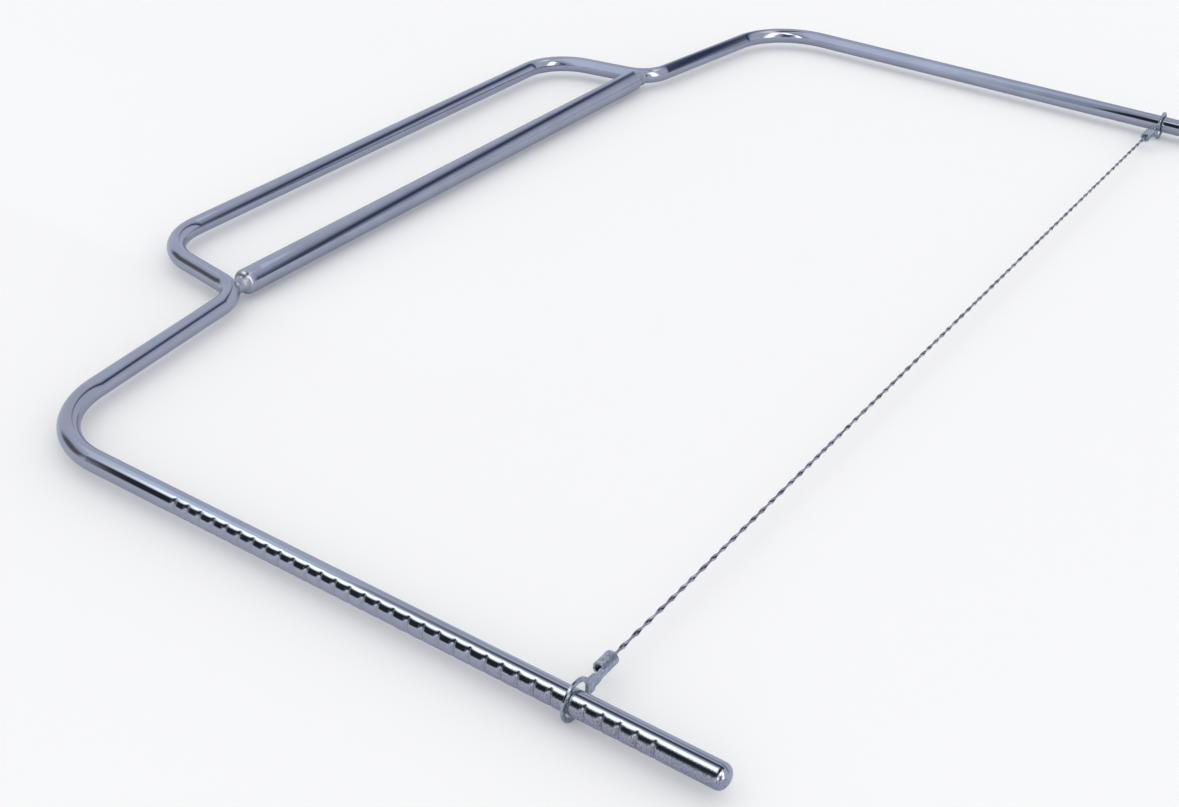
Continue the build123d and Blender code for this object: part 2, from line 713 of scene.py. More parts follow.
@dataclass
class RodFrame:
    """The bent rod: legs with rolled notches, shoulders, neck bends and grip bar."""

    rod_diameter: float = 4.8
    leg_spacing: float = 320.0
    leg_length: float = 167.7
    shoulder_drop: float = 8.3
    neck_spacing: float = 183.2
    handle_height: float = 34.9
    grip_width: float = 171.4
    leg_bend_radius: float = 21.6
    neck_bend_radius: float = 10.0
    grip_bend_radius: float = 15.5
    sides: int = 60
    bend_steps: int = 26

    # Domed tips
    dome_length: float = 1.9
    dome_steps: int = 12
    dome_power: float = 2.3
    least_swell: float = 0.002

    # Row of notches
    notch_count: int = 33
    notch_pitch: float = 3.45
    notch_depth: float = 0.75
    notch_width: float = 1.3
    last_notch_from_tip: float = 13.3
    steps_per_notch: int = 16

    # How closely the rod's stations crowd at a notch, and how far past the end notches they do so
    # and the metal is pressed, both in notches
    crowding: float = 0.55
    crowd_reach: float = 0.5
    press_reach: float = 0.49

    # How each notch differs from the next, in millimetres and in shares of its size, and the
    # number that sets the notches of the two legs apart
    seed: int = 7
    side_number: float = 100.0
    notch_shift: float = 0.05
    notch_lean: float = 0.04
    notch_depths: tuple = (0.9, 1.02)
    notch_widths: tuple = (0.92, 1.1)

    # Form that the roller leaves: uneven flanks, a rounded floor and a dip beside each notch
    handle_flank: float = 0.6
    tip_flank: float = 0.4
    floor_rounding: float = 0.012
    notch_softness: float = 0.32
    dent_depth: float = 0.12
    dent_reach: float = 0.38
    dent_fade: tuple = (0.38, 0.64)
    least_leaning: float = 0.12

    # Wear in the notches, and the strip near the tips that the rings scuff
    worn_rise: tuple = (0.95, 1.25)
    wear_edge: float = 0.1
    scuffed_notches: tuple = (3.0, 14.0)
    least_scuff: float = 0.06
    scuff_fade: tuple = (0.48, 0.66)

    @property
    def leg_x(self) -> float:
        """Distance from the middle to a leg's axis."""
        return self.leg_spacing / 2

    @property
    def leg_corner_y(self) -> float:
        """Where a leg's line meets its shoulder's line."""
        return -self.handle_height - self.shoulder_drop

    @property
    def tip_y(self) -> float:
        """End of the legs."""
        return self.leg_corner_y - self.leg_length

    @property
    def notch_row(self) -> float:
        """Length from the first notch to the last."""
        return self.notch_pitch * (self.notch_count - 1)

    @property
    def first_notch_y(self) -> float:
        """Middle of the notch nearest the handle."""
        return self.tip_y + self.last_notch_from_tip + self.notch_row

    def axis_points(self) -> list:
        """Lay out the rod's axis from the right tip to the left one.

        Returns:
            Each point's x and y, its bend radius and the number of cuts to the next point.
        """
        zone_end = self.first_notch_y - self.notch_row - self.notch_pitch / 2
        zone_start = self.first_notch_y + self.notch_pitch / 2
        dome = []
        for step in range(self.dome_steps):
            turn = math.pi / 2 * step / self.dome_steps
            dome.append((self.leg_x, self.tip_y + self.dome_length * (1 - math.cos(turn)), 0.0))
        half = dome + [
            (self.leg_x, self.tip_y + self.dome_length, 0.0),
            (self.leg_x, zone_end, 0.0),
            (self.leg_x, zone_start, 0.0),
            (self.leg_x, self.leg_corner_y, self.leg_bend_radius),
            (self.neck_spacing / 2, -self.handle_height, self.neck_bend_radius),
            (self.grip_width / 2, 0.0, self.grip_bend_radius),
        ]
        whole = half + [(-x, y, bend) for x, y, bend in reversed(half)]

        # Only the runs of the two notch rows are cut
        cuts = [0] * len(whole)
        zone_cuts = self.notch_count * self.steps_per_notch - 1
        cuts[len(dome) + 1] = zone_cuts
        cuts[len(whole) - len(dome) - 3] = zone_cuts
        return [(x, y, bend, count) for (x, y, bend), count in zip(whole, cuts)]

    def inputs(self, finish: bpy.types.Material) -> dict:
        """Inputs of the Geometry Nodes group, with lengths in metres.

        Args:
            finish: The chrome material.

        Returns:
            Values by socket name.
        """
        return {
            "Axis": GEOMETRY,
            "Rod Radius": self.rod_diameter / 2 * MM,
            "Sides": self.sides,
            "Bend Steps": self.bend_steps,
            "Dome Length": self.dome_length * MM,
            "Leg X": self.leg_x * MM,
            "First Notch Y": self.first_notch_y * MM,
            "Last Notch Y": (self.tip_y + self.last_notch_from_tip) * MM,
            "Notch Pitch": self.notch_pitch * MM,
            "Notch Count": self.notch_count,
            "Notch Depth": self.notch_depth * MM,
            "Handle Flank": self.notch_width * self.handle_flank * MM,
            "Tip Flank": self.notch_width * self.tip_flank * MM,
            "Softness": self.notch_softness * MM,
            "Dent Depth": self.dent_depth * MM,
            "Dent Reach": self.dent_reach * MM,
            "Seed": self.seed,
            "Finish": finish,
        }

    def tree(self, inputs: dict) -> bpy.types.NodeTree:
        """Build the Geometry Nodes group that sweeps the rod and rolls the notches in.

        Args:
            inputs: Values by socket name.

        Returns:
            The group.
        """
        tree, make, given, out = new_group("notched_rod", "GeometryNodeTree", inputs, {"Rod": GEOMETRY})
        curve = make.add("GeometryNodeMeshToCurve", {"Mesh": given["Axis"]}).outputs[0]
        bend = make.add("GeometryNodeInputNamedAttribute", {"Name": "bend_radius"}, data_type="FLOAT")
        curve = make.add(
            "GeometryNodeFilletCurve",
            {"Curve": curve, "Count": given["Bend Steps"], "Radius": bend.outputs["Attribute"]},
            mode="POLY",
        ).outputs[0]
        cuts = make.add("GeometryNodeInputNamedAttribute", {"Name": "cuts"}, data_type="INT")
        curve = make.add(
            "GeometryNodeSubdivideCurve", {"Curve": curve, "Cuts": cuts.outputs["Attribute"]}
        ).outputs[0]
        curve = self._crowd(make, given, curve)
        rod = make.add(
            "GeometryNodeCurveToMesh",
            {
                "Curve": curve,
                "Profile Curve": make.circle(given["Sides"], given["Rod Radius"]),
                "Scale": self._dome(make, given),
                "Fill Caps": True,
            },
        ).outputs[0]
        rod = self._roll_notches(make, given, rod)
        make.feed(out["Rod"], make.dressed(rod, given["Finish"]))
        return tree

    def _dome(self, make: TreeMaker, given: object) -> bpy.types.NodeSocket:
        """Round both tips off.

        Args:
            make: Maker for the tree.
            given: The tree's inputs.

        Returns:
            The share of the rod's radius that each station has.
        """
        along = make.add("GeometryNodeSplineParameter").outputs["Length"]
        whole = make.add("GeometryNodeSplineLength").outputs["Length"]
        from_end = make.math("MINIMUM", along, make.math("SUBTRACT", whole, along))
        left = make.math("SUBTRACT", 1.0, make.math("DIVIDE", from_end, given["Dome Length"]))
        left = make.math("MAXIMUM", left, 0.0)
        swell = make.math("SUBTRACT", 1.0, make.math("POWER", left, self.dome_power))
        return make.math("POWER", make.math("MAXIMUM", swell, self.least_swell), 1 / self.dome_power)

    def _steps(self, make: TreeMaker, given: object, y: object) -> bpy.types.NodeSocket:
        """Count the notches from the first one to a place along a leg."""
        from_first = make.math("SUBTRACT", given["First Notch Y"], y)
        return make.math("DIVIDE", from_first, given["Notch Pitch"])

    def _in_row(
        self, make: TreeMaker, given: object, steps: object, reach: float
    ) -> bpy.types.NodeSocket:
        """Tell whether a place lies along the row of notches.

        Args:
            make: Maker for the tree.
            given: The tree's inputs.
            steps: Notches from the first one to the place.
            reach: How far the row goes past its end notches, in notches.

        Returns:
            A socket that is 1 along the row and 0 past it.
        """
        end = make.math("SUBTRACT", given["Notch Count"], 1.0 - reach)
        started = make.math("GREATER_THAN", steps, -reach)
        return make.math("MULTIPLY", started, make.math("LESS_THAN", steps, end))

    def _crowd(self, make: TreeMaker, given: object, curve: object) -> bpy.types.NodeSocket:
        """Move the rod's stations closer together at each notch and further apart between.

        Args:
            make: Maker for the tree.
            given: The tree's inputs.
            curve: The rod's axis.

        Returns:
            The axis with its stations moved.
        """
        _, y, _ = make.split(make.position())
        steps = self._steps(make, given, y)
        wave = make.math("SINE", make.math("MULTIPLY", steps, 2 * math.pi))
        wave = make.math("MULTIPLY", wave, self.crowding / (2 * math.pi))
        shift = make.math("MULTIPLY", wave, given["Notch Pitch"])
        shift = make.math("MULTIPLY", shift, self._in_row(make, given, steps, self.crowd_reach))
        moved = {"Geometry": curve, "Offset": make.join(0.0, shift, 0.0)}
        return make.add("GeometryNodeSetPosition", moved).outputs[0]

    def _chance(
        self, make: TreeMaker, given: object, which: object, span: tuple, salt: int
    ) -> bpy.types.NodeSocket:
        """Draw a random number for each notch.

        Args:
            make: Maker for the tree.
            given: The tree's inputs.
            which: Number of the notch.
            span: Lowest and highest value.
            salt: Sets one use apart from the next.

        Returns:
            The number's socket.
        """
        seed = make.math("ADD", given["Seed"], float(salt))
        inputs = {"ID": which, "Seed": seed, 2: span[0], 3: span[1]}
        return make.add("FunctionNodeRandomValue", inputs, data_type="FLOAT").outputs[1]

    def _nearest_notch(self, make: TreeMaker, given: object, side: object, y: object, z: object) -> tuple:
        """Find the notch nearest to a place.

        Args:
            make: Maker for the tree.
            given: The tree's inputs.
            side: -1 on the left leg and 1 on the right leg.
            y: Place along the leg.
            z: Height of the place.

        Returns:
            Distance past the notch's middle, the notch's depth, and how many times wider than the
            middle size its flanks are.
        """
        number = make.math("MAXIMUM", make.math("ROUND", self._steps(make, given, y)), 0.0)
        number = make.math("MINIMUM", number, make.math("SUBTRACT", given["Notch Count"], 1.0))
        which = make.math("MULTIPLY_ADD", side, self.side_number, number)
        shift = self._chance(make, given, which, (-self.notch_shift * MM, self.notch_shift * MM), 1)
        deep = self._chance(make, given, which, self.notch_depths, 2)
        wide = self._chance(make, given, which, self.notch_widths, 3)
        lean = self._chance(make, given, which, (-self.notch_lean, self.notch_lean), 4)
        back = make.math("MULTIPLY", given["Notch Pitch"], -1.0)
        middle = make.math("MULTIPLY_ADD", number, back, given["First Notch Y"])
        middle = make.math("ADD", make.math("ADD", middle, shift), make.math("MULTIPLY", lean, z))
        depth = make.math("MULTIPLY", given["Notch Depth"], deep)
        return make.math("SUBTRACT", y, middle), depth, wide

    def _roll_notches(self, make: TreeMaker, given: object, rod: object) -> bpy.types.NodeSocket:
        """Press the notches into the outer side of both legs and mark their wear.

        Args:
            make: Maker for the tree.
            given: The tree's inputs.
            rod: The plain rod.

        Returns:
            The notched rod, with its wear and scuffs as attributes.
        """
        x, y, z = make.split(make.position())
        side = make.math("SIGN", x)
        out_from_leg = make.math("SUBTRACT", make.math("ABSOLUTE", x), given["Leg X"])
        away, depth, wide = self._nearest_notch(make, given, side, y, z)

        # The V, as the distance from the leg's axis that it leaves
        to_handle = make.math("DIVIDE", away, make.math("MULTIPLY", given["Handle Flank"], wide))
        to_tip = make.math("DIVIDE", away, make.math("MULTIPLY", given["Tip Flank"], wide))
        rise = make.math("MAXIMUM", to_handle, make.math("MULTIPLY", to_tip, -1.0))
        rise = make.math("SQRT", make.math("MULTIPLY_ADD", rise, rise, self.floor_rounding))
        floor = make.math("SUBTRACT", given["Rod Radius"], depth)
        limit = make.math("MULTIPLY_ADD", rise, depth, floor)

        # The rod's own radius with a dip beside each notch, blended softly into the V
        radius = make.length(z, out_from_leg)
        leaning = make.math("MAXIMUM", make.math("DIVIDE", out_from_leg, radius), self.least_leaning)
        share = make.math("DIVIDE", make.math("ABSOLUTE", away), given["Dent Reach"])
        dent = make.math("EXPONENT", make.math("MULTIPLY", share, -1.0))
        dent = make.math("MULTIPLY", dent, make.span(leaning, *self.dent_fade))
        dented = make.math("MULTIPLY_ADD", dent, make.math("MULTIPLY", given["Dent Depth"], -1.0), radius)
        cut = make.math("DIVIDE", limit, leaning)
        shrink = make.math("DIVIDE", make.math("SMOOTH_MIN", dented, cut, given["Softness"]), radius)
        new_x = make.math("MULTIPLY_ADD", out_from_leg, shrink, given["Leg X"])
        new_x = make.math("MULTIPLY", new_x, side)
        new_z = make.math("MULTIPLY", z, shrink)

        outward = make.math("GREATER_THAN", out_from_leg, 0.0)
        in_row = self._in_row(make, given, self._steps(make, given, y), self.press_reach)
        outer = make.math("MULTIPLY", in_row, outward)
        near = make.span(rise, *self.worn_rise, 1.0, 0.0)
        past_floor = make.math("SUBTRACT", out_from_leg, floor)
        facing = make.span(past_floor, -self.wear_edge * MM, self.wear_edge * MM)
        wear = make.math("MULTIPLY", make.math("MULTIPLY", near, facing), outer)
        rod = make.store(rod, "wear", wear)
        rod = make.store(rod, "scuff", self._scuff(make, given, y, leaning, outward))
        place = {"Geometry": rod, "Selection": outer, "Position": make.join(new_x, y, new_z)}
        return make.add("GeometryNodeSetPosition", place).outputs[0]

    def _scuff(
        self, make: TreeMaker, given: object, y: object, leaning: object, outward: object
    ) -> bpy.types.NodeSocket:
        """Work out how scuffed a place is: most by the tips, on the leg's outer side.

        Args:
            make: Maker for the tree.
            given: The tree's inputs.
            y: Place along the leg.
            leaning: How squarely the place faces outwards, from 0 to 1.
            outward: 1 on the leg's outer half and 0 on its inner half.

        Returns:
            The scuffing's socket.
        """
        full, start = (
            make.math("MULTIPLY_ADD", given["Notch Pitch"], notches, given["Last Notch Y"])
            for notches in self.scuffed_notches
        )
        scuff = make.span(y, full, start, 1.0, self.least_scuff)
        scuff = make.math("MULTIPLY", scuff, make.span(leaning, *self.scuff_fade))
        scuff = make.math("MULTIPLY", scuff, outward)
        return make.math("MULTIPLY", scuff, make.math("LESS_THAN", y, given["First Notch Y"]))

    def build(self, finish: bpy.types.Material) -> bpy.types.Object:
        """Make the rod and show it.

        Args:
            finish: The chrome material.

        Returns:
            The rod's object.
        """
        points = self.axis_points()
        axis = line_mesh("rod_axis", [(x, y, 0.0) for x, y, _, _ in points])
        mark(axis, "bend_radius", [bend * MM for _, _, bend, _ in points])
        mark(axis, "cuts", [count for _, _, _, count in points], "INT")
        inputs = self.inputs(finish)
        mesh = grown(axis, self.tree(inputs), inputs, "notched_rod_frame")
        return show(mesh, "notched_rod_frame", Body.FRAME, ["frame_rod"])


@dataclass
class HandleCrossbar:
    """The thicker bar that closes the handle loop, with a weld at each end."""

    rod: RodFrame
    diameter: float = 6.4
    above_neck: float = 3.1
    end_x: float = 88.29
    end_rounding: float = 1.9
    end_steps: int = 14
    stations_before_end: tuple = (60.0, 30.0, 12.0, 4.0, 1.0)
    sides: int = 64

    # Welds, which are fuller at the right end
    weld_gap: float = 0.4
    weld_radius: dict = field(default_factory=lambda: {Side.LEFT: 1.9, Side.RIGHT: 2.4})
    weld_flare: dict = field(default_factory=lambda: {Side.LEFT: 0.35, Side.RIGHT: 0.8})
    weld_fillet: float = 0.25
    weld_steps: int = 10
    flare_start: float = 0.35
    depth_in_rod: float = 0.35

    # Lumps and heat marks of the weld beads, whose rings use the first of their random draws
    seed: int = 11
    bead_length: float = 2.2
    bead_roughness: float = 0.035
    roughening_length: float = 2.0
    wear_length: float = 1.2
    most_wear: float = 1.5
    draws_per_ring: int = 6
    lump_waves: int = 3

    def outline(self, side: Side) -> list:
        """Stations from the middle of the bar to inside the rod.

        Args:
            side: End of the bar.

        Returns:
            Pairs of the distance along the bar and the radius there.
        """
        radius = self.diameter / 2
        rounding = self.end_rounding
        weld = self.weld_radius[side]
        stations = [(self.end_x - rounding - x, radius) for x in self.stations_before_end]
        for step in range(self.end_steps + 1):
            turn = math.pi / 2 * step / self.end_steps
            here = radius - rounding + rounding * math.cos(turn)
            if here < weld + self.weld_fillet:
                break
            stations.append((self.end_x - rounding + rounding * math.sin(turn), here))
        start = stations[-1][0]
        last = self.end_x + self.weld_gap + self.rod.rod_diameter * self.depth_in_rod
        for step in range(1, self.weld_steps + 1):
            share = step / self.weld_steps
            swell = self.weld_flare[side] * max(0.0, share - self.flare_start) ** 2
            dip = self.weld_fillet * (1 - share) ** 3
            stations.append((start + (last - start) * share, weld + dip + swell))
        return stations

    def build(self, finish: bpy.types.Material) -> bpy.types.Object:
        """Make the crossbar and show it.

        Args:
            finish: The chrome material.

        Returns:
            The crossbar's object.
        """
        left = [(-x, r) for x, r in reversed(self.outline(Side.LEFT))]
        stations = left + self.outline(Side.RIGHT)
        axis_y = -self.rod.handle_height + self.above_neck
        chance = np.random.default_rng(self.seed)
        vertices = []
        wear = []
        for x, radius in stations:
            past = max(0.0, abs(x) - self.end_x + self.bead_length)
            rough = self.bead_roughness * min(1.0, past / self.roughening_length)
            lumps = chance.normal(0.0, 1.0, self.draws_per_ring)[: self.lump_waves]
            for turn in np.linspace(0, 2 * math.pi, self.sides, endpoint=False):
                waves = (size * math.cos((k + 2) * turn + k) for k, size in enumerate(lumps))
                lump = sum(waves) / 2
                here = radius + rough * max(-1.0, min(1.0, lump))
                vertices.append((x, axis_y + here * math.cos(turn), here * math.sin(turn)))
                wear.append(min(self.most_wear, past / self.wear_length))
        mesh = ring_stack("welded_crossbar", vertices, self.sides)
        mark(mesh, "wear", wear)
        mesh.materials.append(finish)
        return show(mesh, "welded_crossbar", Body.FRAME, ["handle_crossbar"])


def ring_stack(name: str, vertices: list, sides: int) -> bpy.types.Mesh:
    """Skin a row of rings and close both ends.

    Args:
        name: Name of the mesh.
        vertices: Ring after ring of places in millimetres, along +X.
        sides: Points in each ring.

    Returns:
        The mesh, in metres, smooth.
    """
    rings = len(vertices) // sides
    faces = []
    for ring in range(rings - 1):
        for k in range(sides):
            a = ring * sides + k
            b = ring * sides + (k + 1) % sides
            faces.append((a, b, b + sides, a + sides))
    faces.append(tuple(range(sides - 1, -1, -1)))
    faces.append(tuple(range((rings - 1) * sides, rings * sides)))
    mesh = plain_mesh(name, vertices, [], faces)
    mesh.flip_normals()
    mesh.shade_smooth()
    return mesh


@dataclass
class CuttingWire:
    """Two strands twisted together and pulled straight between the terminals."""

    height: float = -0.2
    axis_y: float = -179.4
    end_x: float = 149.97
    diameter: float = 1.0
    looseness: float = 0.03
    step: float = 0.3
    sides: int = 14
    seed: int = 3

    # Length of one twist, how many turns it wanders, and how unevenly each turn runs in radians
    lay: float = 7.6
    lay_drift: float = 0.6
    lay_snap: float = 0.36
    snap_phase: float = -0.94

    # Noise that varies the lay and the gap between the strands, in waves per metre of wire
    drift_waves: float = 45.0
    drift_detail: float = 2.0
    gap_waves: float = 260.0
    gap_detail: float = 1.0
    gap_range: tuple = (0.35, 0.65)

    def inputs(self, finish: bpy.types.Material) -> dict:
        """Inputs of the Geometry Nodes group, with lengths in metres.

        Args:
            finish: The wire's material.

        Returns:
            Values by socket name.
        """
        return {
            "Line": GEOMETRY,
            "Strand Radius": (self.diameter / 2 - self.looseness) / 2 * MM,
            "Lay": self.lay * MM,
            "Lay Drift": self.lay_drift,
            "Lay Snap": self.lay_snap,
            "Snap Phase": self.snap_phase,
            "Looseness": self.looseness * MM,
            "Centre": (0.0, self.axis_y * MM, self.height * MM),
            "Step": self.step * MM,
            "Sides": self.sides,
            "Seed": self.seed,
            "Finish": finish,
        }

    def tree(self, inputs: dict) -> bpy.types.NodeTree:
        """Build the Geometry Nodes group that twists two strands round a straight line.

        Args:
            inputs: Values by socket name.

        Returns:
            The group.
        """
        tree, make, given, out = new_group("twisted_pair", "GeometryNodeTree", inputs, {"Wire": GEOMETRY})
        line = make.add("GeometryNodeMeshToCurve", {"Mesh": given["Line"]}).outputs[0]
        line = make.add(
            "GeometryNodeResampleCurve", {"Curve": line, "Length": given["Step"]}, mode="LENGTH"
        ).outputs[0]
        profile = make.circle(given["Sides"], given["Strand Radius"])
        x, _, _ = make.split(make.position())
        drift = self._noise(make, given, x, self.drift_waves, self.drift_detail)
        turns = make.math("MULTIPLY_ADD", drift, given["Lay Drift"], make.math("DIVIDE", x, given["Lay"]))
        angle = make.math("MULTIPLY", turns, 2 * math.pi)
        snap = make.math("SINE", make.math("MULTIPLY_ADD", angle, 2.0, given["Snap Phase"]))
        angle = make.math("MULTIPLY_ADD", snap, given["Lay Snap"], angle)
        gap = make.span(self._noise(make, given, x, self.gap_waves, self.gap_detail), *self.gap_range)
        reach = make.math("MULTIPLY_ADD", gap, given["Looseness"], given["Strand Radius"])
        both = make.add("GeometryNodeJoinGeometry")
        for start in (0.0, math.pi):
            here = make.math("ADD", angle, start)
            across = make.math("MULTIPLY", make.math("COSINE", here), reach)
            up = make.math("MULTIPLY", make.math("SINE", here), reach)
            moved = {"Geometry": line, "Offset": make.join(0.0, across, up)}
            strand = make.add("GeometryNodeSetPosition", moved).outputs[0]
            skin = {"Curve": strand, "Profile Curve": profile, "Fill Caps": True}
            make.feed(both.inputs[0], make.add("GeometryNodeCurveToMesh", skin).outputs[0])
        # Distance from the wire's axis, which the finish uses to paint shade in the crevice between the
        # strands
        wire = make.store(both.outputs[0], "outer", self._outer(make, given))
        make.feed(out["Wire"], make.dressed(wire, given["Finish"]))
        return tree

    def _noise(
        self, make: TreeMaker, given: object, x: object, waves: float, detail: float
    ) -> bpy.types.NodeSocket:
        """Make a number that wanders along the wire.

        Args:
            make: Maker for the tree.
            given: The tree's inputs.
            x: Place along the wire.
            waves: How fast it wanders, in waves per metre.
            detail: Finer waves on top.

        Returns:
            The number's socket.
        """
        place = make.math("MULTIPLY_ADD", x, waves, given["Seed"])
        inputs = {"W": place, "Scale": 1.0, "Detail": detail}
        return make.add("ShaderNodeTexNoise", inputs, noise_dimensions="1D").outputs[0]

    def _outer(self, make: TreeMaker, given: object) -> bpy.types.NodeSocket:
        """Tell how far out of the crevice between the strands a place lies.

        Args:
            make: Maker for the tree.
            given: The tree's inputs.

        Returns:
            A socket that goes from 0 on the wire's axis to 1 on its outside.
        """
        off_centre = make.add(
            "ShaderNodeVectorMath", {0: make.position(), 1: given["Centre"]}, operation="SUBTRACT"
        ).outputs[0]
        _, y, z = make.split(off_centre)
        return make.math("DIVIDE", make.length(y, z), make.math("MULTIPLY", given["Strand Radius"], 2.0))

    def build(self, finish: bpy.types.Material) -> bpy.types.Object:
        """Make the wire and show it.

        Args:
            finish: The wire's material.

        Returns:
            The wire's object.
        """
        line = line_mesh("wire_axis", [(x, self.axis_y, self.height) for x in (-self.end_x, self.end_x)])
        inputs = self.inputs(finish)
        mesh = grown(line, self.tree(inputs), inputs, "twisted_wire")
        return show(mesh, "twisted_wire", Body.WIRE_UNIT, ["cutting_wire"])


@dataclass
class RingTerminal:
    """A ring with a stepped neck, stamped from sheet, whose end is rolled and crimped on the wire.

    On the flat blank, u counts from the ring's centre towards the wire and v across it. Counted from
    the sheet's middle, w comes out of the barrel that the sheet is rolled into.
    """

    ring_x: float = 159.174
    sheet_middle_y: float = -180.35
    height: float = -0.2
    thickness: float = 0.5

    # Rounded rims, and how far they lean from the outer face's way in degrees. Those below zero
    # go round the inner face's edge.
    edge_rounding: float = 0.08
    rim_leans: tuple = (45.0, 90.0, -270.0, -225.0)

    # Spacing of the points between the rims, and the share of it that they keep from a rim
    grid: float = 0.22
    grid_margin: float = 0.55

    # Ring
    ring_radius: float = 4.2
    hole_radius: float = 3.3
    ring_steps: int = 60
    hole_steps: int = 72

    # Shoulders and neck
    shoulder_half: float = 1.95
    shoulder_reach: float = 5.7
    shoulder_blend: float = 0.8
    blend_steps: int = 8
    neck_half: float = 1.3
    step_rounding: float = 0.3
    neck_rounding: float = 0.45

    # Barrel
    barrel_start: float = 8.6
    barrel_end: float = 12.6
    barrel_radius: float = 1.45
    barrel_set_back: float = 0.25
    seam: float = 0.15
    curl_start: float = 6.9
    corner_rounding: float = 0.25
    least_bend: float = 1e-5

    # Crimp marks on the barrel, with their place round it in radians
    crimp_marks: int = 7
    crimp_start: float = 0.5
    crimp_pitch: float = 0.5
    crimp_depth: float = 0.05
    crimp_turn: float = 0.75
    crimp_spread: float = 0.28

    # Wear on the crimp and on the rim that hooks into the notches
    crimp_wear: float = 0.8
    crimp_wear_spread: float = 0.35
    rim_wear: float = 0.7
    rim_wear_spread: float = 0.3

    @property
    def roll_radius(self) -> float:
        """Radius of the rolled sheet's middle."""
        return self.barrel_radius - self.thickness / 2

    @property
    def wing_half(self) -> float:
        """Half of the blank's height where it is rolled."""
        return math.pi * self.roll_radius - self.seam / 2

    def half_outline(self) -> list:
        """Draw the upper half of the blank's outline.

        Returns:
            Points from the ring's far side to the barrel's end.
        """
        blend = self.shoulder_blend
        centre_v = self.shoulder_half + blend
        centre_u = math.sqrt((self.ring_radius + blend) ** 2 - centre_v**2)
        meet = math.atan2(centre_v, centre_u)
        points = arc((0.0, 0.0), self.ring_radius, math.pi, meet, self.ring_steps)
        points += arc((centre_u, centre_v), blend, meet - math.pi, -math.pi / 2, self.blend_steps)[1:]
        corners = [
            (self.shoulder_reach, self.shoulder_half, self.step_rounding),
            (self.shoulder_reach, self.neck_half, self.step_rounding),
            (self.barrel_start, self.neck_half, self.neck_rounding),
            (self.barrel_start, self.wing_half, self.corner_rounding),
            (self.barrel_end, self.wing_half, self.corner_rounding),
            (self.barrel_end, 0.0, 0.0),
        ]
        before = points[-1]
        for (u, v, rounding), after in zip(corners, corners[1:]):
            points += rounded_corner(before, (u, v), after[:2], rounding)
            before = (u, v)
        points.append(corners[-1][:2])
        return spaced(points, self.grid)

    def blank(self) -> tuple:
        """Lay out the flat blank, held back from its rims by their rounding.

        Returns:
            Its points, its triangles, and for the outer rim and the hole's rim the numbers of the
            points along it, the directions out of the sheet there and the rim's own places.
        """
        upper = self.half_outline()
        outer = upper + [(u, -v) for u, v in reversed(upper[1:-1])]
        hole = arc((0.0, 0.0), self.hole_radius, 0.0, 2 * math.pi, self.hole_steps)[:-1]
        loops = []
        flat = []
        edges = []
        for loop, outward in ((outer, 1.0), (hole, -1.0)):
            rim = np.array(loop)
            directions = rim_directions(rim) * outward
            numbers = list(range(len(flat), len(flat) + len(loop)))
            flat += list(rim - directions * self.edge_rounding)
            edges += list(zip(numbers, numbers[1:] + numbers[:1]))
            loops.append((numbers, directions, rim))
        flat += self._filling(np.array(flat), outer)
        points, _, faces, _, _, _ = geometry.delaunay_2d_cdt(
            [Vector(point) for point in flat], edges, [], INSIDE_EDGES, TINY
        )
        kept = []
        for face in faces:
            middle = sum((points[i] for i in face), Vector((0.0, 0.0))) / len(face)
            if self._inside(middle.x, middle.y, outer):
                kept.append(tuple(face))
        return [tuple(point) for point in points], kept, loops

    def _filling(self, rim: np.ndarray, outer: list) -> list:
        """Points of a square grid that fill the blank between its rims.

        Args:
            rim: The blank's points along both rims.
            outer: The outer rim.

        Returns:
            The points, none of them close to a rim.
        """
        points = []
        for u in np.arange(-self.ring_radius, self.barrel_end, self.grid):
            for v in np.arange(-self.wing_half, self.wing_half, self.grid):
                gap = np.min(np.hypot(rim[:, 0] - u, rim[:, 1] - v))
                if gap > self.grid * self.grid_margin and self._inside(u, v, outer):
                    points.append(np.array((u, v)))
        return points

    def _inside(self, u: float, v: float, outer: list) -> bool:
        """Tell whether a place lies inside the blank's outer rim and outside its hole.

        Args:
            u: Distance from the ring's centre towards the wire.
            v: Height on the flat blank.
            outer: The outer rim.

        Returns:
            True where it does.
        """
        if math.hypot(u, v) < self.hole_radius:
            return False
        crossings = 0
        for (u0, v0), (u1, v1) in zip(outer, outer[1:] + outer[:1]):
            if (v0 > v) != (v1 > v) and u < (u1 - u0) * (v - v0) / (v1 - v0) + u0:
                crossings += 1
        return crossings % 2 == 1

    def _sheet(self) -> tuple:
        """Give the flat blank its thickness and its rounded rims.

        Returns:
            Places as u, v and w, the direction that each one faces, and the faces between them.
        """
        points, faces, loops = self.blank()
        half = self.thickness / 2
        count = len(points)
        places = [(u, v, w) for w in (half, -half) for u, v in points]
        facing = [(0.0, 0.0, w) for w in (1.0, -1.0) for _ in points]
        skin = faces + [tuple(i + count for i in reversed(face)) for face in faces]
        for numbers, directions, rim in loops:
            rows = [numbers]
            for lean in self.rim_leans:
                rows.append(list(range(len(places), len(places) + len(rim))))
                across = math.sin(math.radians(lean))
                up = math.cos(math.radians(lean))
                back = self.edge_rounding * (1 - across)
                level = math.copysign(half - self.edge_rounding, lean)
                for (u, v), (du, dv) in zip(rim, directions):
                    places.append((u - du * back, v - dv * back, level + self.edge_rounding * up))
                    facing.append((du * across, dv * across, up))
            rows.append([i + count for i in numbers])
            for near, far in zip(rows, rows[1:]):
                for i in range(len(near)):
                    j = (i + 1) % len(near)
                    skin.append((near[j], far[j], far[i], near[i]))
        return places, facing, skin

